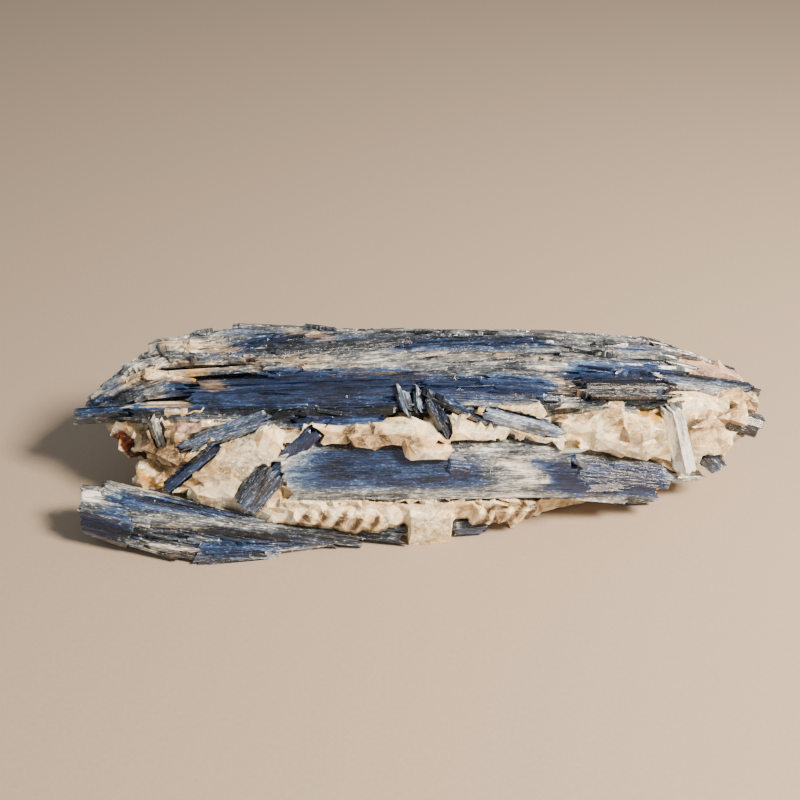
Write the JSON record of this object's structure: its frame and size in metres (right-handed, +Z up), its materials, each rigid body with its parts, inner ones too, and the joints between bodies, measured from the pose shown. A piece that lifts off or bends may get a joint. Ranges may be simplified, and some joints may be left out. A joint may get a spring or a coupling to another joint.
{
  "type": "kyanite blade cluster in quartz",
  "caption": "Natural kyanite specimen: long blue-grey blades grown together in two bundles on pale quartz, resting flat",
  "frame": {"origin": "Middle of the specimen's bounding box, on the surface it rests on", "axes": "+X along the blades toward the pointed quartz end, -Y the open front with the broad blue blade, +Z up"},
  "size_m": [0.201, 0.0622, 0.0439],
  "materials": {
    "crest_quartz_pocket": "vitreous broken quartz",
    "crook_lower_blade": "pearly cleavage with splintery edges",
    "crook_upper_blade": "pearly cleavage with splintery edges",
    "diagonal_blade": "pearly cleavage with splintery edges",
    "edge_quartz_pocket": "vitreous broken quartz",
    "end_crystal": "pearly cleavage with splintery edges",
    "front_blade": "pearly cleavage with splintery edges",
    "lavender_blade": "pearly cleavage with splintery edges",
    "left_heel_blade": "pearly cleavage with splintery edges",
    "left_quartz_pocket": "vitreous broken quartz",
    "lip_quartz_pocket": "vitreous broken quartz",
    "lower_blade_bundle": "pearly cleavage with splintery edges",
    "middle_heel_blade": "pearly cleavage with splintery edges",
    "notch_blade": "pearly cleavage with splintery edges",
    "pocket_left_blade": "pearly cleavage with splintery edges",
    "pocket_right_blade": "pearly cleavage with splintery edges",
    "quartz_matrix": "vitreous broken quartz",
    "right_heel_blade": "pearly cleavage with splintery edges",
    "slanting_lower_blade": "pearly cleavage with splintery edges",
    "slanting_upper_blade": "pearly cleavage with splintery edges",
    "tail_crystal": "pearly cleavage with splintery edges",
    "tail_rod": "pearly cleavage with splintery edges",
    "upper_blade_bundle": "pearly cleavage with splintery edges",
    "upright_blade": "pearly cleavage with splintery edges",
    "wedge_blade": "pearly cleavage with splintery edges"
  },
  "bodies": {
    "root": {"crest_quartz_pocket": "crest_quartz_pocket", "crook_lower_blade": "crook_lower_blade", "crook_upper_blade": "crook_upper_blade", "diagonal_blade": "diagonal_blade", "edge_quartz_pocket": "edge_quartz_pocket", "end_crystal": "end_crystal", "front_blade": "front_blade", "lavender_blade": "lavender_blade", "left_heel_blade": "left_heel_blade", "left_quartz_pocket": "left_quartz_pocket", "lip_quartz_pocket": "lip_quartz_pocket", "lower_blade_bundle": "lower_blade_bundle", "middle_heel_blade": "middle_heel_blade", "notch_blade": "notch_blade", "pocket_left_blade": "pocket_left_blade", "pocket_right_blade": "pocket_right_blade", "quartz_matrix": "quartz_matrix", "right_heel_blade": "right_heel_blade", "slanting_lower_blade": "slanting_lower_blade", "slanting_upper_blade": "slanting_upper_blade", "tail_crystal": "tail_crystal", "tail_rod": "tail_rod", "upper_blade_bundle": "upper_blade_bundle", "upright_blade": "upright_blade", "wedge_blade": "wedge_blade"}
  },
  "joints": []
}
